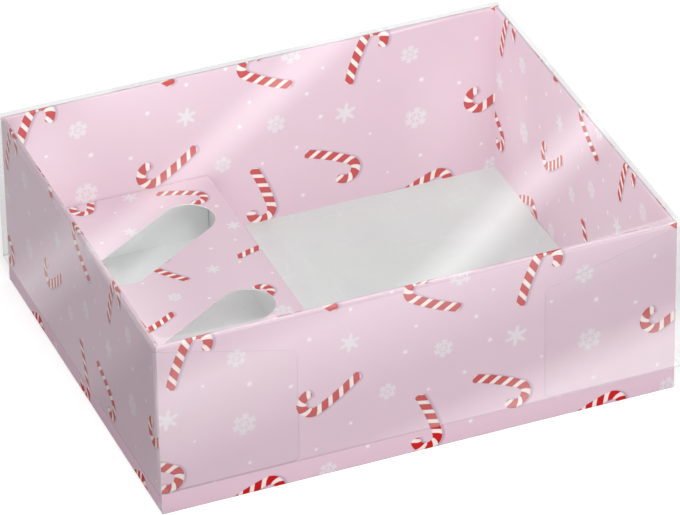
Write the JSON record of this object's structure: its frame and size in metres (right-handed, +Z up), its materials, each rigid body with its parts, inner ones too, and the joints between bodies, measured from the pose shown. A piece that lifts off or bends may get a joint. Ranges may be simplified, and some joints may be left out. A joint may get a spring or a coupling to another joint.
{
  "type": "cupcake box",
  "caption": "Shallow oblong cake box: a printed board tray with rolled double walls, a clear folded film lid that lifts off, and a slotted board insert on fold-down legs.",
  "frame": {"origin": "middle of the tray's underside", "axes": "+X along the front from left to right, +Y from the front to the back, +Z up"},
  "size_m": [0.2236, 0.1836, 0.0806],
  "materials": {
    "printed_board": "satin pale pink print with candy canes and snowflakes on white carton board",
    "plain_board": "matt uncoated grey-white carton board",
    "clear_film": "clear glossy film, creased at the folds"
  },
  "bodies": {
    "tray": {"tray_floor": "plain_board", "front_wall": "printed_board", "back_wall": "printed_board", "left_wall": "printed_board", "right_wall": "printed_board", "front_lining": "printed_board", "back_lining": "printed_board", "left_lining": "printed_board", "right_lining": "printed_board", "front_rim": "printed_board", "back_rim": "printed_board", "left_rim": "printed_board", "right_rim": "printed_board", "front_left_corner_tab": "plain_board", "front_right_corner_tab": "plain_board", "back_left_corner_tab": "plain_board", "back_right_corner_tab": "plain_board"},
    "lid": {"lid_top": "clear_film", "lid_front": "clear_film", "lid_back": "clear_film", "lid_left": "clear_film", "lid_right": "clear_film", "lid_front_left_tab": "clear_film", "lid_front_right_tab": "clear_film", "lid_back_left_tab": "clear_film", "lid_back_right_tab": "clear_film"},
    "insert": {"insert_deck": "printed_board"},
    "left_leg": {"insert_left_leg": "printed_board"},
    "right_leg": {"insert_right_leg": "printed_board"},
    "back_leg": {"insert_back_leg": "printed_board"}
  },
  "joints": [
    {"name": "lid_lift", "type": "slide", "parent": "tray", "child": "lid", "axis": [0, 0, 1], "range_m": [0, 0.1]},
    {"name": "insert_lift", "type": "slide", "parent": "tray", "child": "insert", "axis": [0, 0, 1], "range_m": [0, 0.045]},
    {"name": "left_leg_fold", "type": "hinge", "parent": "insert", "child": "left_leg", "pos_m": [-0.1075, 0, 0.0295], "axis": [0, -1, 0], "range_deg": [0, 90]},
    {"name": "right_leg_fold", "type": "hinge", "parent": "insert", "child": "right_leg", "pos_m": [-0.0216, 0, 0.0295], "axis": [0, -1, 0], "range_deg": [0, 90]},
    {"name": "back_leg_fold", "type": "hinge", "parent": "insert", "child": "back_leg", "pos_m": [-0.0648, 0.0875, 0.0295], "axis": [-1, 0, 0], "range_deg": [0, 90]}
  ]
}
